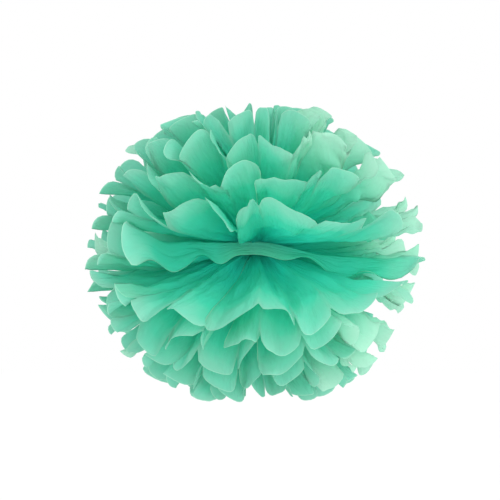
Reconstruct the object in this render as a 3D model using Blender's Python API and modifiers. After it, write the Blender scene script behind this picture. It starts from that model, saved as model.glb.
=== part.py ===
"""A tissue paper pom pom.

Ten sheets of tissue are pleated together into a strip, tied round the middle with a twisted wire and cut round
at both ends. Each half of each sheet is then fanned out, and the sheets are pulled apart, up and down, into a
ball of petals. The sheets are numbered from the bottom. X runs along the strip, -Y is the front and +Z is up;
the origin is the middle of the tie.

Lengths are in metres and angles in degrees.
"""

import math

import bpy
import numpy as np

# The paper as it is cut
SHEET_LENGTH = 0.350  # along the pleats, from tip to tip
SHEET_WIDTH = 0.540  # across the pleats
PLEATS = 13  # panels between folds on each sheet
SCALLOP_DEPTH = 0.025  # how far the rounded cut falls from a petal's tip to its folds
PAPER_THICKNESS = 0.0006  # drawn thick: real tissue is about 0.03 mm

# The tie
TIE_WIDTH = 0.012  # the gathered strip, from its front edge to its back edge
TIE_LENGTH = 0.0036  # the flat band of each sheet under the wire, at its front and back edges
TIE_SWELL = 0.004  # how much further the band reaches at its middle, where the gathers swell past the wire
LAYER_GAP = 0.0004  # between one sheet and the next at the tie
WIRE_DIAMETER = 0.0012
WIRE_CLEARANCE = 0.0003  # between the wire and the paper
TWIST_LENGTH = 0.014  # the twisted ends of the wire
TWIST_TURNS = 3
TWIST_GAP = 0.0003  # between the two strands of the twist

# How each sheet is lifted at the front, left, right and back, and how far from the front and from the back its
# cut edges lie, on the left and on the right. A negative distance is past the middle. reach replaces FOLD_REACH.
SHEETS = (
    {"lift": (-69, -73, -73, -73), "front_edges": (-13, 13), "back_edges": (13, -12)},
    {"lift": (-53, -55, -58, -56), "front_edges": (12, -11), "back_edges": (-10, 12)},
    {"lift": (-38, -39, -44, -41), "front_edges": (-6, 7), "back_edges": (9, -8)},
    {"lift": (-26, -25, -31, -27), "front_edges": (8, -7), "back_edges": (-6, 8)},
    {"lift": (-17, -12, -17, -12), "front_edges": (14, -13), "back_edges": (9, 9)},
    {"lift": (-1, 0, -3, 4), "front_edges": (42, 68), "back_edges": (10, 10), "reach": 1.0},
    {"lift": (18, 14, 13, 20), "front_edges": (7, -7), "back_edges": (12, -10)},
    {"lift": (30, 29, 31, 36), "front_edges": (-5, 5), "back_edges": (-6, 8)},
    {"lift": (44, 47, 49, 53), "front_edges": (9, -8), "back_edges": (9, -8)},
    {"lift": (61, 66, 68, 71), "front_edges": (-13, 13), "back_edges": (-10, 12)},
)
# Panels that were opened wide or left nearly shut when the ball was fluffed, as shares of an even panel
OPENED = {
    (7, -1): {0: 1.0, 1: 1.35, 2: 1.35},
    (7, 1): {0: 0.9, 1: 1.3, 2: 1.4, 3: 1.35, 4: 1.2},
    (5, -1): {0: 1.3, 1: 1.4},
    (5, 1): {0: 1.2, 1: 1.1, 2: 1.1, 3: 1.35, 4: 1.35},
    (8, -1): {0: 1.2, 1: 1.1},
    (10, 1): {0: 1.25, 1: 1.3},
}

# How the paper stands
LIFT_AT_TIE = 0.22  # share of the lift that a sheet has where it leaves the tie
LIFT_REACHED = 0.40  # share of a petal's length at which it has all its lift
PLEAT_SPREAD = 0.45  # unevenness of the panels' shares of the fan
PLEAT_SHARE = 0.90  # share of the depth that flat panels would need, the rest being lost in the gathers
FLATTENED = 0.085  # how much shorter an upright petal reaches than a level one
TIP_LEAN = 9.0  # how far the tip of an upright petal leans outwards
LEAN_START = 0.55  # share of a petal's length at which it starts to lean
PETAL_CUP = 3.0  # how far the middle of a petal bellies out of the plane of its folds
FOLD_REACH = 0.50  # the most of the way to the next sheet that a fold goes
FOLD_WANDER = 0.06  # unevenness of the folds, as a share of the way to the next sheet
SHORTER = 0.04  # how much shorter the most crumpled petal reaches than the paper is cut
CURL_START = 0.62  # share of a petal's length where its end starts to curl
CURL_AWAY = 45.0  # how far the ends curl away from the middle sheets
CURL_SHEETS = 2.0  # how many sheets from the middle the curl has all its strength
CURL_SPREAD = 28.0  # the most that one petal's curl differs from the others
STRAIGHT = 0.001  # the least bend that is drawn, in radians per metre
TWIST = 0.005  # the most that the two corners of a petal's end rise and fall
ROLL = 0.004  # the most that both corners rise together
SIDE_SWING = 2.0  # the most that a petal's end swings sideways
PUSH = 0.008  # how far the whole ball is pushed out of true
PUSH_WAVE = 0.200
PUSH_PHASES = ((0.4, 2.1, 4.4), (3.0, 5.2, 1.1))

# Rows of the modelled surface, as shares of a petal's length, and the columns on each panel in that row
ROWS = ((0.0, 1), (0.09, 1), (0.30, 1), (0.62, 1), (0.82, 2), (1.0, 4))

# How finely the wire's route is drawn
CORNER_STEPS = 3
STEPS_PER_TURN = 5

GOLDEN = 0.6180339887
PAPER_COLOUR = (0.165, 0.60, 0.43, 1.0)
WIRE_COLOUR = (0.55, 0.56, 0.55, 1.0)

PANEL_WIDTH = SHEET_WIDTH / PLEATS
PETAL_LENGTH = SHEET_LENGTH / 2 - TIE_LENGTH / 2 - TIE_SWELL
LAYER_PITCH = PAPER_THICKNESS + LAYER_GAP


def scatter(*index):
    """An even, repeatable scatter of values from -1 to 1 for whole numbers."""
    seed = sum(n * GOLDEN ** (i + 1) for i, n in enumerate(index))
    return 2 * (seed % 1.0) - 1


def layer_height(number):
    """The height of a sheet's flat band in the tie."""
    return (number - (len(SHEETS) + 1) / 2) * LAYER_PITCH


def sheet_lift(number, side, turn):
    """The lift of a sheet at an angle from the front, on side -1 (left) or 1 (right): its front, side and back
    values, weighed by the squares of the cosine and the sine of that angle."""
    front, left, right, back = SHEETS[number - 1]["lift"]
    beside = right if side * turn > 0 else left
    ahead = front if math.cos(math.radians(turn)) > 0 else back
    weight = math.cos(math.radians(turn)) ** 2
    return ahead * weight + beside * (1 - weight)


def fold_lines(number, side):
    """The angle from the front and the lift of each fold of one half of a sheet, the cut edges included.

    The panels share out the fan unevenly. A panel is a strip of fixed width, so what it doesn't take up around the
    fan it rises or falls by, like the legs of a right-angled triangle, and the less a pair of panels takes the
    deeper is the pleat between them. No fold goes more than FOLD_REACH of the way to the next sheet. The parity
    makes the pleats of neighbouring sheets nest.
    """
    half = 0 if side < 0 else 1
    start = SHEETS[number - 1]["front_edges"][half]
    whole = 180 - SHEETS[number - 1]["back_edges"][half] - start
    parity = round(start * PLEATS / 180)
    reach = SHEETS[number - 1].get("reach", FOLD_REACH)
    opened = OPENED.get((number, side), {})
    shares = np.array([opened.get(panel, 1 + PLEAT_SPREAD * scatter(panel, number, side + 2))
                       for panel in range(PLEATS)])
    turns = start + whole * np.concatenate([[0], np.cumsum(shares)]) / shares.sum()
    panel_angle = math.degrees(PANEL_WIDTH / (PETAL_LENGTH - SCALLOP_DEPTH / 2))

    lifts = np.array([sheet_lift(number, side, turn) for turn in turns])
    level = np.diff(turns) * np.cos(np.radians(lifts[1:]))
    fall = PLEAT_SHARE * np.sqrt(np.maximum(panel_angle**2 - level**2, 0))
    depth = (np.append(fall, fall[-1]) + np.insert(fall, 0, fall[0])) / 4
    beside = [n for n in (number - 1, number + 1) if 1 <= n <= len(SHEETS)]
    room = np.min([[abs(sheet_lift(n, side, turn) - lift) for turn, lift in zip(turns, lifts)] for n in beside], axis=0)
    for fold in range(PLEATS + 1):
        lifts[fold] += (-1) ** (fold + parity) * min(depth[fold], reach * room[fold])
        lifts[fold] += FOLD_WANDER * room[fold] * scatter(number, fold, side + 5)
    return turns, lifts


def per_petal(number, side, stream):
    """One scattered value for each petal of one half of a sheet."""
    return np.array([scatter(number, petal, side + stream) for petal in range(PLEATS)])


def petal_curls(number, side):
    """How far the end of each petal of one half of a sheet curls up, in degrees. The upper sheets curl up and the
    lower ones down, the steep ones least."""
    middle = (len(SHEETS) + 1) / 2
    turns, lifts = fold_lines(number, side)
    level = np.cos(np.radians((lifts[1:] + lifts[:-1]) / 2)) ** 2
    away = min(max((number - middle) / CURL_SHEETS, -1), 1)
    return CURL_AWAY * away * level + CURL_SPREAD * per_petal(number, side, 17)


def paper_points(number, side, share, across):
    """Points of one half of a sheet. share is how far along its petal a point lies, from 0 at the tie to 1 at the
    cut, and across counts panels from the front edge; both are arrays of one shape.

    A point goes out from the tie along the direction that the folds on its two sides give, and past the start of
    the curl it follows an arc."""
    turns, lifts = fold_lines(number, side)
    panel = np.minimum(across.astype(int), PLEATS - 1)
    within = across - panel
    turn = np.radians(turns[panel] + within * (turns[panel + 1] - turns[panel]))
    lift = np.radians(lifts[panel] + within * (lifts[panel + 1] - lifts[panel]))
    belly = np.sin(math.pi * within)
    petal = per_petal(number, side, 9)[panel]

    full = PETAL_LENGTH * (1 - FLATTENED * np.sin(lift) ** 2) * (1 - SHORTER * (1 + petal) / 2 * belly)
    cut = SCALLOP_DEPTH * (1 - np.sqrt(np.maximum(1 - (2 * within - 1) ** 2, 0)))
    along = share * (full - cut)
    out = along / PETAL_LENGTH

    risen = LIFT_AT_TIE + (1 - LIFT_AT_TIE) * (1 - (1 - np.minimum(out / LIFT_REACHED, 1)) ** 2)
    lean = math.radians(TIP_LEAN) * np.sin(lift) * np.maximum((out - LEAN_START) / (1 - LEAN_START), 0) ** 2
    cup = math.radians(PETAL_CUP) * petal * belly * np.cos(lift) * out**2
    lift = lift * risen - lean + cup

    free = np.maximum(along - PETAL_LENGTH * CURL_START, 0)
    tip = free / (PETAL_LENGTH * (1 - CURL_START))
    turn = turn + math.radians(SIDE_SWING) * per_petal(number, side, 13)[panel] * belly * tip
    bend = np.radians(np.interp(across - 0.5, range(PLEATS), petal_curls(number, side)))
    bend = bend / (PETAL_LENGTH * (1 - CURL_START))
    bend = np.where(np.abs(bend) < STRAIGHT, STRAIGHT, bend)
    reach = along - free + np.sin(bend * free) / bend
    rise = (1 - np.cos(bend * free)) / bend
    middle = 2 * within - 1
    rise += TWIST * per_petal(number, side, 19)[panel] * middle * tip**2
    rise += ROLL * per_petal(number, side, 23)[panel] * middle**2 * tip**2

    around = math.pi * across / PLEATS
    outward = reach * np.cos(lift) - rise * np.sin(lift)
    x = side * (TIE_LENGTH / 2 + TIE_SWELL * np.sin(around) + outward * np.sin(turn))
    y = -TIE_WIDTH / 2 * np.cos(around) - outward * np.cos(turn)
    z = layer_height(number) + reach * np.sin(lift) + rise * np.cos(lift)
    return np.stack([x, y, z], axis=-1)


def pushed(points):
    """The ball pushed out of true. Each coordinate is moved by slow waves of the other two, more with the distance
    from the tie, and sheets that lie together move together."""
    away = np.minimum(np.linalg.norm(points, axis=-1, keepdims=True) / (SHEET_LENGTH / 2), 1.2) ** 2
    pace = 2 * math.pi / PUSH_WAVE
    waves = [np.sin(pace * np.roll(points, 1 + i, axis=-1) + phases) for i, phases in enumerate(PUSH_PHASES)]
    return points + PUSH * away * (waves[0] + waves[1]) / 2


def sheet_rows(number):
    """The rows of points of a sheet, from the tips on the left, over the tie, to the tips on the right."""
    halves = []
    for side in (-1, 1):
        rows = []
        for share, columns in ROWS:
            across = np.linspace(0, PLEATS, PLEATS * columns + 1)
            rows.append(pushed(paper_points(number, side, np.full_like(across, share), across)))
        halves.append(rows)
    return halves[0][::-1] + halves[1]


def surface(rows):
    """Points and triangles of the surface between rows that may differ in their number of points. The next
    triangle always takes a point from whichever row is behind."""
    points = np.concatenate(rows)
    triangles = []
    first = 0
    for upper, lower in zip(rows, rows[1:]):
        steps, lower_steps = len(upper) - 1, len(lower) - 1
        second = first + len(upper)
        i = j = 0
        while i < steps or j < lower_steps:
            if (2 * i + 1) * lower_steps < (2 * j + 1) * steps:
                triangles.append((first + i, second + j, first + i + 1))
                i += 1
            else:
                triangles.append((first + i, second + j, second + j + 1))
                j += 1
        first = second
    return points, triangles


def material(name, colour, roughness, metallic=0.0):
    """A Principled BSDF material."""
    made = bpy.data.materials.new(name)
    made.use_nodes = True
    shader = made.node_tree.nodes["Principled BSDF"]
    shader.inputs["Base Color"].default_value = colour
    shader.inputs["Roughness"].default_value = roughness
    shader.inputs["Metallic"].default_value = metallic
    made.diffuse_color = colour
    return made


def tissue_sheet(number, paper):
    """One pleated sheet: its surface, thickened to both sides."""
    points, triangles = surface(sheet_rows(number))
    mesh = bpy.data.meshes.new(f"tissue_sheet_{number}")
    mesh.from_pydata(points.tolist(), [], triangles)
    mesh.shade_flat()
    mesh.materials.append(paper)
    sheet = bpy.data.objects.new(mesh.name, mesh)
    thicken = sheet.modifiers.new("paper", "SOLIDIFY")
    thicken.thickness = PAPER_THICKNESS
    thicken.offset = 0
    return sheet


def wire_path():
    """The wire's route: in along one strand of the twist behind the tie, round the stack of sheets, and out
    along the other strand."""
    half_width = TIE_WIDTH / 2 + WIRE_CLEARANCE + WIRE_DIAMETER / 2
    half_height = layer_height(len(SHEETS)) + PAPER_THICKNESS / 2 + WIRE_CLEARANCE + WIRE_DIAMETER / 2
    strand = (WIRE_DIAMETER + TWIST_GAP) / 2
    corner = WIRE_DIAMETER

    loop = []
    for y_way, z_way, start in ((1, 1, 0), (-1, 1, 90), (-1, -1, 180), (1, -1, 270)):
        for step in range(CORNER_STEPS + 1):
            angle = math.radians(start + 90 * step / CORNER_STEPS)
            y = y_way * (half_width - corner) + corner * math.cos(angle)
            z = z_way * (half_height - corner) + corner * math.sin(angle)
            loop.append((0.0, y, z))

    def twist(phase):
        """One strand, from the tie outwards along +Y."""
        points = []
        steps = STEPS_PER_TURN * TWIST_TURNS
        for step in range(steps + 1):
            angle = phase + 2 * math.pi * TWIST_TURNS * step / steps
            y = half_width + WIRE_DIAMETER + TWIST_LENGTH * step / steps
            points.append((strand * math.sin(angle), y, strand * math.cos(angle)))
        return points

    return twist(0)[::-1] + loop + twist(math.pi)


def tie_wire(metal):
    """The wire that gathers the sheets."""
    path = wire_path()
    curve = bpy.data.curves.new("tie_wire", "CURVE")
    curve.dimensions = "3D"
    curve.bevel_depth = WIRE_DIAMETER / 2
    curve.bevel_resolution = 2
    curve.use_fill_caps = True
    spline = curve.splines.new("POLY")
    spline.points.add(len(path) - 1)
    for point, place in zip(spline.points, path):
        point.co = (*place, 1.0)
    curve.materials.append(metal)
    return bpy.data.objects.new("tie_wire", curve)


def main():
    for thing in list(bpy.data.objects):
        bpy.data.objects.remove(thing)
    pom_pom = bpy.data.collections.new("tissue_paper_pom_pom")
    bpy.context.scene.collection.children.link(pom_pom)
    paper = material("mint_tissue", PAPER_COLOUR, 0.85)
    metal = material("tie_wire_steel", WIRE_COLOUR, 0.35, metallic=1.0)
    for number in range(1, len(SHEETS) + 1):
        pom_pom.objects.link(tissue_sheet(number, paper))
    pom_pom.objects.link(tie_wire(metal))


main()
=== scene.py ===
"""The looks of a tissue paper pom pom.

Each sheet of tissue is drawn again on a fine grid, from the same fan of folds that its solid has, and gets what a
solid leaves out: rounded pleats, gathers that run out from the tie, pinched and crushed petals, soft and sharp
creases, the loose front edge of the middle sheet and a ragged cut. Lengths are in metres and angles in degrees. X
runs along the tied strip, -Y is the front and +Z is up. A side is -1 on the left and 1 on the right. Each half's
panels, which are its petals, and its folds are counted from the front.
"""

import math

import bpy
import numpy as np
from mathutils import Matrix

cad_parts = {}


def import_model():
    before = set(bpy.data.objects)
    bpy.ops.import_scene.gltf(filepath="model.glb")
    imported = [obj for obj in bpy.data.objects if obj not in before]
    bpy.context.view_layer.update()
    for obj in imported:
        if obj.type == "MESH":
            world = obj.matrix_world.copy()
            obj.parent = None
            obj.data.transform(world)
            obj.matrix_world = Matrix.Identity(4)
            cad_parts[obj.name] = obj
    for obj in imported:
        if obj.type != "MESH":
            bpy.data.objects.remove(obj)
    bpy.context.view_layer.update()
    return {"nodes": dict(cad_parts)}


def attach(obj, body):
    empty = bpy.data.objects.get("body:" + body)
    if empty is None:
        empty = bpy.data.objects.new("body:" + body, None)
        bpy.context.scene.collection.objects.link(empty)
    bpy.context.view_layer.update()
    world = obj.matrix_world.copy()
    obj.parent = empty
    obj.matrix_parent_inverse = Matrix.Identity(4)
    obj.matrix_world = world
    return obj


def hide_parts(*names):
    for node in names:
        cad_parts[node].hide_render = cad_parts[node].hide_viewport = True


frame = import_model()

# The paper as it is cut, and the tie
SHEET_LENGTH = 0.350  # from tip to tip, over the tie
SHEET_WIDTH = 0.540  # across the pleats
PLEATS = 13
SCALLOP_DEPTH = 0.025  # of the round cut at the end of each petal
PAPER_THICKNESS = 0.0006
LAYER_GAP = 0.0004
TIE_WIDTH = 0.012  # from front to back
TIE_LENGTH = 0.0036  # along the strip
TIE_SWELL = 0.004  # how far the gathered paper bulges beside the wire
PANEL_WIDTH = SHEET_WIDTH / PLEATS
PETAL_LENGTH = SHEET_LENGTH / 2 - TIE_LENGTH / 2 - TIE_SWELL
LAYER_PITCH = PAPER_THICKNESS + LAYER_GAP

# From the bottom sheet to the top one: its lift at the front, left, right and back, and how far short of the front
# and of the back the cut edges of its left and its right half stop. The middle sheet's folds reach the next sheets.
SHEETS = (
    {"lift": (-69, -73, -73, -73), "front_edges": (-13, 13), "back_edges": (13, -12)},
    {"lift": (-53, -55, -58, -56), "front_edges": (12, -11), "back_edges": (-10, 12)},
    {"lift": (-38, -39, -44, -41), "front_edges": (-6, 7), "back_edges": (9, -8)},
    {"lift": (-26, -25, -31, -27), "front_edges": (8, -7), "back_edges": (-6, 8)},
    {"lift": (-17, -12, -17, -12), "front_edges": (14, -13), "back_edges": (9, 9)},
    {"lift": (-1, 0, -3, 4), "front_edges": (42, 68), "back_edges": (10, 10), "reach": 1.0},
    {"lift": (18, 14, 13, 20), "front_edges": (7, -7), "back_edges": (12, -10)},
    {"lift": (30, 29, 31, 36), "front_edges": (-5, 5), "back_edges": (-6, 8)},
    {"lift": (44, 47, 49, 53), "front_edges": (9, -8), "back_edges": (9, -8)},
    {"lift": (61, 66, 68, 71), "front_edges": (-13, 13), "back_edges": (-10, 12)},
)
# Panels that were opened wide or left nearly shut when the ball was fluffed, as shares of an even panel
OPENED = {
    (7, -1): {0: 1.0, 1: 1.35, 2: 1.35},
    (7, 1): {0: 0.9, 1: 1.3, 2: 1.4, 3: 1.35, 4: 1.2},
    (5, -1): {0: 1.3, 1: 1.4},
    (5, 1): {0: 1.2, 1: 1.1, 2: 1.1, 3: 1.35, 4: 1.35},
    (8, -1): {0: 1.2, 1: 1.1},
    (10, 1): {0: 1.25, 1: 1.3},
}
PLEAT_SPREAD = 0.45  # how unevenly the other panels open
PLEAT_SHARE = 0.90  # how much of a panel's spare width goes into its rise and fall
FOLD_REACH = 0.50  # how far a fold may rise or fall, as a share of the way to the next sheet
FOLD_WANDER = 0.06  # how far it strays, as a share of the same
LIFT_AT_TIE = 0.22  # share of its lift that a sheet has as it leaves the tie
LIFT_REACHED = 0.40  # share of its length where it has all of it
FLATTENED = 0.085  # how much shorter the upright petals are, since the ball is flattened
SHORTER = 0.04  # how much shorter a single petal is at most
SCALLOP_SPREAD = 0.15  # how much the depth of the cut differs from petal to petal
LOPSIDED = 0.2  # how far the cut leans to one side
TIP_LEAN = 9.0  # how far upright petals lean out, from LEAN_START of their length on
LEAN_START = 0.55
PETAL_CUP = 3.0  # how far the middle of a petal bows up or down
CURL_START = 0.62  # share of its length where a petal starts to curl
CURL_AWAY = 45.0  # how far its end curls away from the ball's middle, in full from CURL_SHEETS sheets away on
CURL_SHEETS = 2.0
CURL_SPREAD = 28.0  # how far it curls up or down at random
STRAIGHT = 0.001  # the least bend, in radians for each metre, since the arc's formula divides by it
TWIST = 0.009  # how far one side of a petal's end turns up while the other turns down
ROLL = 0.008  # how far both turn the same way
SIDE_SWING = 4.0  # how far its middle swings to the side
PUSH = 0.008  # how far and in what waves the whole ball is pushed out of true
PUSH_WAVE = 0.200
PUSH_PHASES = ((0.4, 2.1, 4.4), (3.0, 5.2, 1.1))  # radians, for x, y and z of its two waves
PUSH_LIMIT = 1.2  # distance from the tie, in half sheets, past which the push grows no more

# The fine grid
COLUMNS = 12  # cells across each panel
ROWS = 46  # cells from the tie to the cut
ROWS_CLOSE_UP = 1.25  # the power by which rows close up towards the cut; 1 would space them evenly
EDGE_COLUMN = 0.035  # the narrow column along each raw side, in panels

# What the solids leave out
FOLD_HEIGHT = 0.0008  # the pleats as they lie pressed in the tie, and how far out they stay pressed
FOLD_PRESSED = 0.030
EDGE_OVERLAP = 5.0  # how far the right half's outer panels slip under the left half's, and how far they dip
EDGE_DIP = 3.5
GATHER_HEIGHT = 0.20  # creases that run out from the tie, as a share of the panel's width there
GATHER_LENGTH = 0.15  # where they have faded away, from half of that on
CREASE_HEIGHT = 0.0026  # soft creases on the petals
FINE_SHARE = 0.5  # the height of finer ones, as a share of that
RIDGE_HEIGHT = 0.0016  # sharp creases
CRUSH_HEIGHT = 0.0055  # creases of the petals that were crushed in a hand
RAGGED_DEPTH = 0.001  # how uneven the cut is
# Where creases start along the paper, and over what length they grow
CREASE_GROWTH = (0.030, 0.080)
RIDGE_GROWTH = (0.050, 0.060)
CRUSH_GROWTH = (0.070, 0.050)

# Crushed petals
CRUSHED = {
    (10, 1): (2, 3, 4),
    (9, 1): (2, 3, 4, 5),
    (8, 1): (3, 4, 5),
    (7, 1): (4, 5, 6, 7),
    (6, 1): (2, 3, 4, 5, 6),
    (5, 1): (5, 6, 7),
    (4, 1): (3, 4, 5, 6),
    (3, 1): (3, 4, 5),
    (2, 1): (4,),
    (9, -1): (7, 10),
    (6, -1): (3, 8),
    (3, -1): (6, 9),
}
# Petals pinched into narrow gutters, and how far their sides come together
PINCHED = {
    (10, -1): {3: 0.95},
    (10, 1): {0: 0.7},
    (8, -1): {6: 0.85, 8: 0.7},
    (8, 1): {1: 0.5, 7: 0.6},
    (7, -1): {3: 0.8, 5: 0.95, 7: 0.9},
    (7, 1): {0: 0.5, 6: 0.7},
    (6, -1): {2: 0.95, 4: 0.95, 5: 0.7, 7: 0.9},
    (6, 1): {5: 0.6, 7: 0.6},
    (5, -1): {2: 0.9, 4: 0.95, 6: 0.9, 8: 0.8},
    (5, 1): {6: 0.6},
    (4, -1): {0: 0.8, 4: 0.9, 6: 0.9},
    (3, -1): {4: 0.6, 6: 0.6},
    (3, 1): {2: 0.8},
    (2, 1): {1: 0.7},
}
PINCH_START = 0.45  # share of a pinched petal's length where its sides start to come together
PINCH_DEPTH = 0.010  # of the gutter
# Open petals whose ends are rolled to a point, as those of the pinched ones are
DRAWN_IN = {
    (7, -1): (4, 6, 8),
    (7, 1): (5, 7),
    (6, -1): (3, 5, 6, 8),
    (6, 1): (6,),
    (5, -1): (3, 5, 7),
    (4, -1): (3, 5, 7),
    (4, 1): (5, 7),
}
POINTED = 0.85  # how narrow the end gets, and over what length
POINT_LENGTH = 0.032
# Folds that were pulled up or down
PULLED = {
    (8, 1): {2: -3.0},
    (7, -1): {1: 3.0, 2: -4.0},
    (7, 1): {0: -2.0, 2: -5.0, 3: -6.0, 4: -6.0, 5: -4.0},
    (6, -1): {0: 3.0, 1: 5.0, 3: -5.0, 4: -5.0, 5: -6.0, 6: -5.0},
    (6, 1): {0: -3.0, 1: -4.0, 2: 3.0, 3: -6.0, 5: -6.0},
    (5, -1): {0: -3.0, 4: -4.0, 5: -4.0},
    (5, 1): {4: 3.0, 5: 5.0, 6: 4.0},
    (3, -1): {0: 3.0},
}

# The loose front edge of the middle sheet
MIDDLE_SHEET = 6
EDGE_STANDS = (0.021, 0.015, 0.0)  # how far the edge and the first two folds stand out in front of the wire
EDGE_RISES = (-0.001, 0.010, 0.0)  # how far they rise
EDGE_REACH = 0.085  # how far along the paper they come back to their places
EDGE_LIFTS = {7: 0.009, 8: 0.006, 9: 0.003}  # how far it lifts the sheets above it at the front
EDGE_WAVE = 0.0065  # the height and the length of its waves
EDGE_WAVELENGTH = 0.065
EDGE_LIT_WIDTH = 2.0  # how many panels its painted light green covers
EDGE_LIGHT_FADE = 1.4  # how fast that fades towards the cut; 1 would take the whole length

# How far painted light makes the paper pale at its cut edges and where it was crushed
RIM_PAINTED_LIGHT = 0.45
CRUSHED_PAINTED_LIGHT = 0.6

# The scatter has one stream of values for each thing that differs from pleat to pleat
OPENING, WANDER, LENGTH, SWING, CURL, TWISTED, ROLLED, CUT_DEPTH, CUT_LEAN = 2, 5, 9, 13, 17, 19, 23, 31, 37
GOLDEN = 0.6180339887  # the golden ratio less 1, whose multiples spread evenly

# Noise on the flat paper: how many cells each panel is wide, how long a cell is, and how many cells the left half
# and the right half of a sheet each lie from the start of the noise, so that they differ. The ragged cut's noise
# doesn't differ along the paper.
GATHERS = {"seed": 100, "cells": 3.4, "length": 0.090, "apart": 9.5}
CREASES = {"seed": 200, "cells": 3.1, "length": 0.034, "apart": 5.5}
FINE_CREASES = {"seed": 300, "cells": 7.3, "length": 0.022, "apart": 5.5}
RAGGED = {"seed": 400, "cells": 5.1, "length": 1.0, "apart": 7.5}
RIDGES = {"seed": 500, "cells": PANEL_WIDTH / 0.024, "length": 0.024, "apart": 6.5}
CRUSHES = {"seed": 600, "cells": PANEL_WIDTH / 0.015, "length": 0.015, "apart": 4.5}
LATTICE = 32  # cells after which the noise repeats

# Painted shade and light in the tissue's colours: from a dark green painted at the tie to a pale one painted at the
# cut, and the painted light of its pale places and of the loose front edge
TISSUE_WITH_PAINTED_SHADE_COLOURS = ((0.0, "#00b8a6"), (0.3, "#30e6d2"), (0.75, "#50d8ba"), (1.0, "#8ad4bc"))
PAINTED_PALE_COLOUR = "#ccf2de"
PAINTED_EDGE_LIGHT_COLOUR = "#74f4ce"
CLOUDS = 40.0  # cloudy patches in a metre of paper, so about 25 mm each
CLOUD_SHIFT = 0.035  # how far they shift the colours along the paper at most
COLOUR_START = 0.018  # what they shift them by on average, so that the first colour lies at the tie
CRINKLES = (180, 34, 1)  # in a metre: 5.6 mm wide and 29 mm long
FIBRES = (700, 260, 1)  # 1.4 mm wide and 3.8 mm long, since real ones, 0.02 mm wide, are too fine to show
LIGHT_THROUGH = 0.55  # share of the light that the paper passes on
WIRE_MARKS = 1500.0  # in a metre, so about 0.7 mm long, since real ones are too fine to show
WIRE_ROUGHNESS = (0.32, 0.5)

# The photograph's frame: 500 pixels wide, the ball's middle at PHOTO_MIDDLE
PHOTO_SIZE = 500
PHOTO_MIDDLE = (253.5, 250.5)
METRES_PER_PIXEL = 0.00102
CAMERA_DISTANCE = 1.4
CAMERA_HEIGHT = 6.0  # above the horizon
SENSOR_WIDTH = 36  # millimetres

# The studio: a floor, and where each light stands, how wide it is and its power in watts
FLOOR_SIZE = 12
FLOOR_BELOW = 1.3
LIGHTS = {
    "key": {"place": (1.3, -0.9, 1.1), "size": 0.8, "power": 15},
    "front_fill": {"place": (0.2, -1.7, 0.1), "size": 1.0, "power": 14},
}


def scatter(*index):
    """An even, repeatable scatter of values from -1 to 1 for whole numbers: the fraction that is left of their sum,
    each times its own power of the golden ratio."""
    total = sum(n * GOLDEN ** (i + 1) for i, n in enumerate(index))
    return 2 * (total % 1.0) - 1


def per_petal(number, side, stream):
    """One scattered value for each petal of one half of a sheet."""
    return np.array([scatter(number, p, side + stream) for p in range(PLEATS)])


def ease(x):
    """Zero below 0, one above 1 and a smooth rise between: three squares less two cubes."""
    x = np.clip(x, 0, 1)
    return x * x * (3 - 2 * x)


def noise(seed, *coordinates):
    """Smooth noise from -1 to 1: random values at whole coordinates, blended between them with a smooth rise."""
    lattice = np.random.default_rng(seed).uniform(-1, 1, (LATTICE,) * len(coordinates))
    cells = [np.floor(c).astype(int) for c in coordinates]
    blends = [ease(c - cell) for c, cell in zip(coordinates, cells)]
    total = 0
    for corner in np.ndindex((2,) * len(coordinates)):
        weight = 1
        for step, blend in zip(corner, blends):
            weight = weight * (blend if step else 1 - blend)
        total = total + weight * lattice[tuple((cell + step) % LATTICE for cell, step in zip(cells, corner))]
    return total


def paper_noise(number, side, across, along, seed, cells, length, apart):
    """Noise on the flat paper of one half of a sheet, with a seed of its own for each sheet."""
    return noise(seed + number, across * cells, along / length + side * apart)


def sheet_lift(number, side, turn):
    """The lift of a sheet at an angle from the front: its front, side and back values, weighed by the squares of
    the cosine and the sine of that angle."""
    front, left, right, back = SHEETS[number - 1]["lift"]
    beside = right if side * turn > 0 else left
    ahead = front if math.cos(math.radians(turn)) > 0 else back
    weight = math.cos(math.radians(turn)) ** 2
    return ahead * weight + beside * (1 - weight)


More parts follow.
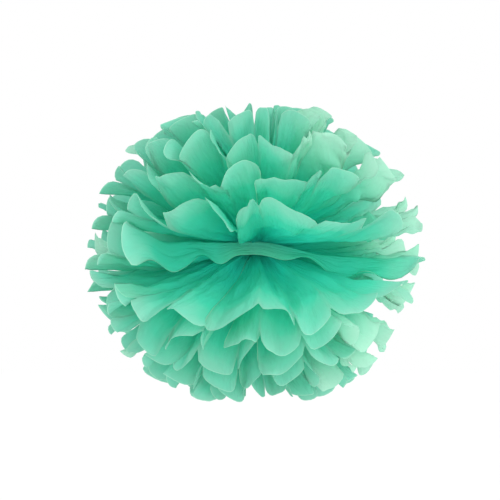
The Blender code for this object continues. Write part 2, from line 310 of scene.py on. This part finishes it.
def fold_lines(number, side):
    """The angle from the front and the lift of each fold of one half of a sheet, the cut edges included. A panel
    is a strip of fixed width, so what it doesn't take up around the fan it rises or falls by: the square root of its
    angle squared less the level part squared. Folds rise and fall in turn, as far as the next sheets leave room."""
    half = 0 if side < 0 else 1
    start = SHEETS[number - 1]["front_edges"][half]
    whole = 180 - SHEETS[number - 1]["back_edges"][half] - start
    parity = round(start * PLEATS / 180)
    reach = SHEETS[number - 1].get("reach", FOLD_REACH)
    opened = OPENED.get((number, side), {})
    shares = np.array([opened.get(panel, 1 + PLEAT_SPREAD * scatter(panel, number, side + OPENING))
                       for panel in range(PLEATS)])
    turns = start + whole * np.concatenate([[0], np.cumsum(shares)]) / shares.sum()
    panel_angle = math.degrees(PANEL_WIDTH / (PETAL_LENGTH - SCALLOP_DEPTH / 2))

    lifts = np.array([sheet_lift(number, side, turn) for turn in turns])
    level = np.diff(turns) * np.cos(np.radians(lifts[1:]))
    fall = PLEAT_SHARE * np.sqrt(np.maximum(panel_angle**2 - level**2, 0))
    depth = (np.append(fall, fall[-1]) + np.insert(fall, 0, fall[0])) / 4
    beside = [n for n in (number - 1, number + 1) if 1 <= n <= len(SHEETS)]
    room = np.min([[abs(sheet_lift(n, side, turn) - lift) for turn, lift in zip(turns, lifts)]
                   for n in beside], axis=0)
    for fold in range(PLEATS + 1):
        lifts[fold] += (-1) ** (fold + parity) * min(depth[fold], reach * room[fold])
        lifts[fold] += FOLD_WANDER * room[fold] * scatter(number, fold, side + WANDER)
    if side > 0 and number != MIDDLE_SHEET:
        turns[[0, -1]] += (-EDGE_OVERLAP, EDGE_OVERLAP)
        lifts[[0, -1]] -= EDGE_DIP
    for fold, pull in PULLED.get((number, side), {}).items():
        lifts[fold] += pull
    return turns, lifts


def petal_curls(number, side):
    """How far the end of each petal of one half of a sheet curls up. The upper sheets curl up and the lower ones
    down, the steep ones least."""
    middle = (len(SHEETS) + 1) / 2
    turns, lifts = fold_lines(number, side)
    level = np.cos(np.radians((lifts[1:] + lifts[:-1]) / 2)) ** 2
    away = min(max((number - middle) / CURL_SHEETS, -1), 1)
    return CURL_AWAY * away * level + CURL_SPREAD * per_petal(number, side, CURL)


def pinched(number, side, turns, lifts):
    """How far each petal of one half of a sheet is pinched, and what that adds to the angle and the lift of each
    fold at the end of the paper: a fold moves into the pinched petals beside it and falls in with the sheet."""
    pinch = np.zeros(PLEATS)
    for petal, share in PINCHED.get((number, side), {}).items():
        pinch[petal] = share
    inward = pinch * np.diff(turns) / 2
    level = np.array([sheet_lift(number, side, turn) for turn in turns])
    most = np.maximum(np.append(pinch, 0), np.insert(pinch, 0, 0))
    return pinch, np.append(inward, 0) - np.insert(inward, 0, 0), most * (level - lifts)


def crushed(number, side, across):
    """How crushed the paper is, from 0 to 1, blended between the middles of the petals."""
    petals = CRUSHED.get((number, side), ())
    return np.interp(across - 0.5, range(PLEATS), [float(petal in petals) for petal in range(PLEATS)])


def place_in_panel(across):
    """The panel that a point lies in, and its place across that panel from 0 to 1."""
    panel = np.minimum(across.astype(int), PLEATS - 1)
    return panel, across - panel


def paper_length(number, side, across, lift):
    """How long the paper is from the tie to the cut. The cut is part of an ellipse on each petal, which may lean to
    one side, and slightly ragged."""
    panel, within = place_in_panel(across)
    middle = 2 * within - 1
    belly = np.sin(math.pi * within)
    petal = per_petal(number, side, LENGTH)[panel]
    full = PETAL_LENGTH * (1 - FLATTENED * np.sin(lift) ** 2) * (1 - SHORTER * (1 + petal) / 2 * belly)
    depth = SCALLOP_DEPTH * (1 + SCALLOP_SPREAD * per_petal(number, side, CUT_DEPTH)[panel] * belly)
    leaning = middle + LOPSIDED * per_petal(number, side, CUT_LEAN)[panel] * (1 - middle**2)
    cut = depth * (1 - np.sqrt(np.maximum(1 - leaning**2, 0)))
    return full - cut + RAGGED_DEPTH * paper_noise(number, side, across, np.zeros_like(across), **RAGGED)


def creases(number, side, across, along):
    """How far the creases lift a point off its sheet: the pleats pressed in the tie, straight from fold to fold; the
    gathers, which grow with the panel's width and fade away from the tie; soft creases, which are noise at two
    sizes; and sharp ones, along the lines where noise is zero, on all petals and higher on the crushed ones."""
    panel, within = place_in_panel(across)
    start, length = CREASE_GROWTH
    rise = FOLD_HEIGHT * (-1.0) ** panel * (2 * within - 1) * (1 - ease(along / FOLD_PRESSED))
    gather = paper_noise(number, side, across, along, **GATHERS) * (1 - ease(2 * along / GATHER_LENGTH - 1))
    rise += GATHER_HEIGHT * PANEL_WIDTH * along / PETAL_LENGTH * gather
    crease = paper_noise(number, side, across, along, **CREASES)
    crease += FINE_SHARE * paper_noise(number, side, across, along, **FINE_CREASES)
    rise += CREASE_HEIGHT * ease((along - start) / length) * crease
    for height, kind, (start, length) in ((RIDGE_HEIGHT, RIDGES, RIDGE_GROWTH),
                                          (CRUSH_HEIGHT * crushed(number, side, across), CRUSHES, CRUSH_GROWTH)):
        sharp = 1 - 2 * np.abs(paper_noise(number, side, across, along, **kind))
        rise += height * ease((along - start) / length) * sharp
    return rise


def loosened(number, side, across, along, turn, y, z):
    """The y and z of points, with the front edge of the middle sheet moved out in front of the wire, less and less
    along the paper and across the first two panels, and waving as a cosine; the sheets above it rise at the front,
    most where the edge stands out and by the cosine of the angle from the front."""
    over_edge = ease(along / EDGE_STANDS[0]) * (1 - ease((along - EDGE_STANDS[0]) / EDGE_REACH))
    z = z + EDGE_LIFTS.get(number, 0) * over_edge * np.maximum(np.cos(turn), 0)
    if number == MIDDLE_SHEET:
        loose = 1 - ease(along / EDGE_REACH)
        y = y - loose * np.interp(across, range(len(EDGE_STANDS)), EDGE_STANDS)
        z = z + loose * np.interp(across, range(len(EDGE_RISES)), EDGE_RISES)
        wave = EDGE_WAVE * np.cos(2 * math.pi * along / EDGE_WAVELENGTH + side) * ease(along / EDGE_WAVELENGTH)
        z = z + wave * np.maximum(1 - across, 0)
    return y, z


def paper_points(number, side, share, across):
    """Points of one half of a sheet. share runs from 0 at the tie to 1 at the cut, and across counts panels from
    the front edge; both are arrays of one shape.

    A point goes out from the tie along the direction that the folds on its two sides give, at first with a share of
    its lift. On the way upright petals lean out and each bows a little, the sides of a pinched petal come together,
    and its end and the drawn-in ones narrow to a point. Past the start of the curl the point follows an arc that
    turns up or down. The twist, the roll, the gutter of a pinched petal and the creases lift it off the sheet.
    """
    turns, lifts = fold_lines(number, side)
    panel, within = place_in_panel(across)
    middle = 2 * within - 1
    belly = np.sin(math.pi * within)
    petal = per_petal(number, side, LENGTH)[panel]

    pinch, inward, levelled = pinched(number, side, turns, lifts)
    closed = ease((share - PINCH_START) / (1 - PINCH_START))
    near_turn, far_turn = (turns[fold] + closed * inward[fold] for fold in (panel, panel + 1))
    near_lift, far_lift = (lifts[fold] + closed * levelled[fold] for fold in (panel, panel + 1))
    rounded = within + ease(share) * (ease(within) - within)
    lift = np.radians(near_lift + rounded * (far_lift - near_lift))
    along = share * paper_length(number, side, across, lift)
    out = along / PETAL_LENGTH

    ends = np.maximum(pinch, np.isin(range(PLEATS), DRAWN_IN.get((number, side), ())))[panel]
    drawn = POINTED * ends * ease(1 - (PETAL_LENGTH - along) / POINT_LENGTH) * middle / 2
    turn = np.radians(near_turn + (within - drawn) * (far_turn - near_turn))
    lift = lift - np.radians(drawn * (far_lift - near_lift))

    risen = LIFT_AT_TIE + (1 - LIFT_AT_TIE) * (1 - (1 - np.minimum(out / LIFT_REACHED, 1)) ** 2)
    lean = math.radians(TIP_LEAN) * np.sin(lift) * np.maximum((out - LEAN_START) / (1 - LEAN_START), 0) ** 2
    cup = math.radians(PETAL_CUP) * petal * belly * np.cos(lift) * out**2
    lift = lift * risen - lean + cup

    curl_length = PETAL_LENGTH * (1 - CURL_START)
    free = np.maximum(along - PETAL_LENGTH * CURL_START, 0)
    tip = free / curl_length
    swing = math.radians(SIDE_SWING) * per_petal(number, side, SWING)[panel]
    turn = turn + swing * belly * tip

    bend = np.radians(np.interp(across - 0.5, range(PLEATS), petal_curls(number, side) * (1 - pinch))) / curl_length
    bend = np.where(np.abs(bend) < STRAIGHT, STRAIGHT, bend)
    reach = along - free + np.sin(bend * free) / bend
    rise = (1 - np.cos(bend * free)) / bend
    rise += TWIST * per_petal(number, side, TWISTED)[panel] * middle * tip**2
    rise += ROLL * per_petal(number, side, ROLLED)[panel] * middle**2 * tip**2
    rise += PINCH_DEPTH * pinch[panel] * np.sign(petal) * closed * belly
    rise += creases(number, side, across, along)

    around = math.pi * across / PLEATS
    outward = reach * np.cos(lift) - rise * np.sin(lift)
    x = side * (TIE_LENGTH / 2 + TIE_SWELL * np.sin(around) + outward * np.sin(turn))
    y = -TIE_WIDTH / 2 * np.cos(around) - outward * np.cos(turn)
    z = (number - (len(SHEETS) + 1) / 2) * LAYER_PITCH + reach * np.sin(lift) + rise * np.cos(lift)
    y, z = loosened(number, side, across, along, turn, y, z)
    return np.stack([x, y, z], axis=-1)


def pushed(points):
    """The ball pushed out of true. Each coordinate is moved by slow waves of the other two, more with the distance
    from the tie, and sheets that lie together move together."""
    away = np.minimum(np.linalg.norm(points, axis=-1, keepdims=True) / (SHEET_LENGTH / 2), PUSH_LIMIT) ** 2
    pace = 2 * math.pi / PUSH_WAVE
    waves = [np.sin(pace * np.roll(points, 1 + i, axis=-1) + phases) for i, phases in enumerate(PUSH_PHASES)]
    return points + PUSH * away * (waves[0] + waves[1]) / 2


def paleness(number, side, share, across):
    """How far painted light makes the paper pale, from 0 to 1: a painted highlight at its cut edges, and painted
    light coming through on the outer half of what was crushed.
    """
    rim = RIM_PAINTED_LIGHT * ((share == 1) | (across == 0) | (across == PLEATS))
    painted_crush_light = CRUSHED_PAINTED_LIGHT * crushed(number, side, across) * ease(share * 2 - 1)
    return np.maximum(rim, painted_crush_light)


def edge_light(number, share, across):
    """How far painted light lightens the green of the loose front edge, from 0 to 1, where it stands out in the
    light.
    """
    covered = np.maximum(1 - across / EDGE_LIT_WIDTH, 0)
    return (number == MIDDLE_SHEET) * (1 - ease(share * EDGE_LIGHT_FADE)) * covered


def add_surface(name, points, uv, **attributes):
    """A smooth mesh over a grid of points, with the grid's own places on the flat paper as its UV map and the
    attributes given, one value for each point."""
    rows, columns = points.shape[:2]
    index = np.arange(rows * columns).reshape(rows, columns)
    quads = np.stack([index[:-1, :-1], index[:-1, 1:], index[1:, 1:], index[1:, :-1]], axis=-1).reshape(-1, 4)
    mesh = bpy.data.meshes.new(name)
    mesh.vertices.add(points.size // 3)
    mesh.vertices.foreach_set("co", points.astype(np.float32).ravel())
    mesh.loops.add(quads.size)
    mesh.loops.foreach_set("vertex_index", quads.astype(np.int32).ravel())
    mesh.polygons.add(len(quads))
    mesh.polygons.foreach_set("loop_start", np.arange(0, quads.size, 4, dtype=np.int32))
    mesh.update(calc_edges=True)
    layer = mesh.uv_layers.new(name="paper")
    layer.data.foreach_set("uv", uv.reshape(-1, 2)[quads.ravel()].astype(np.float32).ravel())
    for key, values in attributes.items():
        mesh.attributes.new(key, "FLOAT", "POINT").data.foreach_set("value", values.astype(np.float32).ravel())
    mesh.shade_smooth()
    thing = bpy.data.objects.new(name, mesh)
    bpy.context.scene.collection.objects.link(thing)
    return thing


def both_halves(left, right):
    """One grid from the tips on the left, over the tie, to the tips on the right."""
    return np.concatenate([left[::-1], right])


def tissue_sheet(number, paper):
    """One whole sheet. Its rows close up towards the cut, and a narrow column follows each raw side."""
    rows = 1 - (1 - np.linspace(0, 1, ROWS + 1)) ** ROWS_CLOSE_UP
    columns = np.linspace(0, PLEATS, PLEATS * COLUMNS + 1)
    columns = np.sort(np.append(columns, (EDGE_COLUMN, PLEATS - EDGE_COLUMN)))
    share, across = np.meshgrid(rows, columns, indexing="ij")
    points = pushed(both_halves(*(paper_points(number, side, share, across) for side in (-1, 1))))
    flat = np.stack([across * PANEL_WIDTH, share * PETAL_LENGTH], axis=-1)
    # The painted light of the pale places and of the loose front edge, one value for each point
    pale = both_halves(*(paleness(number, side, share, across) for side in (-1, 1)))
    edge = edge_light(number, share, across)
    sheet = add_surface(f"fine_sheet_{number}", points, both_halves(flat * (1, -1), flat), pale=pale,
                        edge=both_halves(edge, edge))
    sheet.data.materials.append(paper)
    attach(sheet, "root")
    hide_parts(f"tissue_sheet_{number}")


def linear(code):
    """A colour for a shader, from its sRGB hex code."""
    parts = [int(code[i:i + 2], 16) / 255 for i in (1, 3, 5)]
    return tuple(p / 12.92 if p <= 0.04045 else ((p + 0.055) / 1.055) ** 2.4 for p in parts) + (1.0,)


def node(tree, kind, links=(), **settings):
    """Adds a node. settings are its properties, and those whose name is an input set that input; links joins
    inputs to the outputs given."""
    made = tree.nodes.new(kind)
    for key, value in settings.items():
        if hasattr(made, key):
            setattr(made, key, value)
        else:
            made.inputs[key.replace("_", " ")].default_value = value
    for key, output in dict(links).items():
        tree.links.new(output, made.inputs[key])
    return made


def new_material(name):
    """An empty node material and its output."""
    made = bpy.data.materials.new(name)
    made.use_nodes = True
    made.node_tree.nodes.clear()
    return made, made.node_tree, made.node_tree.nodes.new("ShaderNodeOutputMaterial")


def tissue_and_painted_light():
    """Tissue paper, dyed mint in the pulp: 17 g per square metre, with a dry, fibrous, matt face. It passes about
    half of the light. Its colour carries painted shade and light: a deep, pure green painted towards the tie, deep
    in the ball, for light that has gone through many sheets, and a pale one painted towards the cut ends, where one
    layer stands in the open, palest where the paper was crushed; the loose front edge gets a painted light green."""
    made, tree, output = new_material("dyed_tissue_paper_and_painted_light")
    paper = node(tree, "ShaderNodeUVMap", uv_map="paper").outputs["UV"]
    place = node(tree, "ShaderNodeSeparateXYZ", {"Vector": paper})
    along = node(tree, "ShaderNodeMath", {0: place.outputs["Y"]}, operation="ABSOLUTE")
    cloudy = node(tree, "ShaderNodeTexNoise", {"Vector": paper}, Scale=CLOUDS, Detail=2.0)
    shifted = node(tree, "ShaderNodeMath", {0: cloudy.outputs["Fac"], 2: along.outputs["Value"]},
                   operation="MULTIPLY_ADD")
    shifted.inputs[1].default_value = CLOUD_SHIFT
    share = node(tree, "ShaderNodeMapRange", {"Value": shifted.outputs["Value"]}, From_Min=COLOUR_START,
                 From_Max=COLOUR_START + PETAL_LENGTH)
    # Painted shade and light: the colour runs from a dark green at the tie, deep in the ball's shade, to a pale one
    # at the cut
    shade = node(tree, "ShaderNodeValToRGB", {"Fac": share.outputs["Result"]})
    ramp = shade.color_ramp
    for _ in TISSUE_WITH_PAINTED_SHADE_COLOURS[2:]:
        ramp.elements.new(0.5)
    for element, (position, code) in zip(ramp.elements, TISSUE_WITH_PAINTED_SHADE_COLOURS):
        element.position = position
        element.color = linear(code)
    # Painted light: the loose front edge is mixed towards a light green, and the cut edges and crushed places
    # towards a pale colour
    edge = node(tree, "ShaderNodeAttribute", attribute_name="edge")
    pale = node(tree, "ShaderNodeAttribute", attribute_name="pale")
    # A mix node has its two colours at its inputs 6 and 7, and the mixed one at its output 2
    lit = node(tree, "ShaderNodeMix", {"Factor": edge.outputs["Fac"], 6: shade.outputs["Color"]}, data_type="RGBA")
    lit.inputs[7].default_value = linear(PAINTED_EDGE_LIGHT_COLOUR)
    paled = node(tree, "ShaderNodeMix", {"Factor": pale.outputs["Fac"], 6: lit.outputs[2]}, data_type="RGBA")
    paled.inputs[7].default_value = linear(PAINTED_PALE_COLOUR)
    colour = paled.outputs[2]

    fibre_place = node(tree, "ShaderNodeMapping", {"Vector": paper}, Scale=FIBRES)
    fibre = node(tree, "ShaderNodeTexNoise", {"Vector": fibre_place.outputs["Vector"]}, Scale=1.0, Detail=3.0)
    crinkle_place = node(tree, "ShaderNodeMapping", {"Vector": paper}, Scale=CRINKLES)
    crinkle = node(tree, "ShaderNodeTexNoise", {"Vector": crinkle_place.outputs["Vector"]}, Scale=1.0, Detail=2.0,
                   Roughness=0.55)
    ripple = node(tree, "ShaderNodeBump", {"Height": crinkle.outputs["Fac"]}, Strength=1.0, Distance=0.002)
    tooth = node(tree, "ShaderNodeBump", {"Height": fibre.outputs["Fac"], "Normal": ripple.outputs["Normal"]},
                 Strength=0.2, Distance=0.0002)
    face =node(tree, "ShaderNodeBsdfPrincipled", {"Base Color": colour, "Normal": tooth.outputs["Normal"]},
                Roughness=0.8, IOR=1.5, Specular_IOR_Level=0.25)
    through = node(tree, "ShaderNodeBsdfTranslucent", {"Color": colour, "Normal": tooth.outputs["Normal"]})
    both = node(tree, "ShaderNodeMixShader", {1: face.outputs["BSDF"], 2: through.outputs["BSDF"]},
                Fac=LIGHT_THROUGH)
    tree.links.new(both.outputs["Shader"], output.inputs["Surface"])
    return made


def annealed_wire():
    """Soft steel florist's wire, drawn and annealed: a grey metal with fine marks along it."""
    made, tree, output = new_material("annealed_steel_wire")
    place = node(tree, "ShaderNodeTexCoord")
    marks = node(tree, "ShaderNodeTexNoise", {"Vector": place.outputs["Object"]}, Scale=WIRE_MARKS, Detail=2.0)
    rough = node(tree, "ShaderNodeMapRange", {"Value": marks.outputs["Fac"]}, To_Min=WIRE_ROUGHNESS[0],
                 To_Max=WIRE_ROUGHNESS[1])
    shader = node(tree, "ShaderNodeBsdfPrincipled", {"Roughness": rough.outputs["Result"]},
                  Base_Color=linear("#8f9391"), Metallic=1.0)
    tree.links.new(shader.outputs["BSDF"], output.inputs["Surface"])
    return made


def white_card():
    """The backdrop: matt white card."""
    made, tree, output = new_material("matt_white_card")
    shader = node(tree, "ShaderNodeBsdfPrincipled", Base_Color=linear("#ffffff"), Roughness=0.9,
                  Specular_IOR_Level=0.1)
    tree.links.new(shader.outputs["BSDF"], output.inputs["Surface"])
    return made


def dress_wire(metal):
    """The tie wire keeps its solid and gets its finish."""
    for place in frame["nodes"]["tie_wire"].material_slots:
        place.material = metal


def stage():
    """A white floor well below the ball, which hangs."""
    bpy.ops.mesh.primitive_plane_add(size=FLOOR_SIZE, location=(0, 0, -FLOOR_BELOW))
    floor = bpy.context.object
    floor.name = "studio_floor"
    floor.data.materials.append(white_card())


def area_light(name, place, size, power):
    """A soft white light that faces the ball."""
    lamp = bpy.data.lights.new(name, "AREA")
    lamp.shape = "DISK"
    lamp.size = size
    lamp.energy = power
    light = bpy.data.objects.new(name, lamp)
    light.location = place
    light.rotation_euler = (-light.location).to_track_quat("-Z", "Y").to_euler()
    bpy.context.scene.collection.objects.link(light)


def world():
    """A plain white studio all round."""
    made = bpy.data.worlds.new("white_studio")
    made.use_nodes = True
    made.node_tree.nodes["Background"].inputs["Color"].default_value = (1, 1, 1, 1)
    made.node_tree.nodes["Background"].inputs["Strength"].default_value = 1.0
    bpy.context.scene.world = made


def camera():
    """A camera in front of the ball, slightly above it."""
    lens = bpy.data.cameras.new("camera")
    lens.sensor_width = SENSOR_WIDTH
    lens.lens = SENSOR_WIDTH * CAMERA_DISTANCE / (PHOTO_SIZE * METRES_PER_PIXEL)
    lens.shift_x = (PHOTO_SIZE / 2 - PHOTO_MIDDLE[0]) / PHOTO_SIZE
    lens.shift_y = (PHOTO_MIDDLE[1] - PHOTO_SIZE / 2) / PHOTO_SIZE
    eye = bpy.data.objects.new("camera", lens)
    tilt = math.radians(CAMERA_HEIGHT)
    eye.location = (0, -CAMERA_DISTANCE * math.cos(tilt), CAMERA_DISTANCE * math.sin(tilt))
    eye.rotation_euler = (math.pi / 2 - tilt, 0, 0)
    bpy.context.scene.collection.objects.link(eye)
    bpy.context.scene.camera = eye


paper = tissue_and_painted_light()
for number in range(1, len(SHEETS) + 1):
    tissue_sheet(number, paper)
dress_wire(annealed_wire())
world()
stage()
for name, light in LIGHTS.items():
    area_light(name, **light)
camera()
bpy.context.scene.view_settings.view_transform = "Standard"
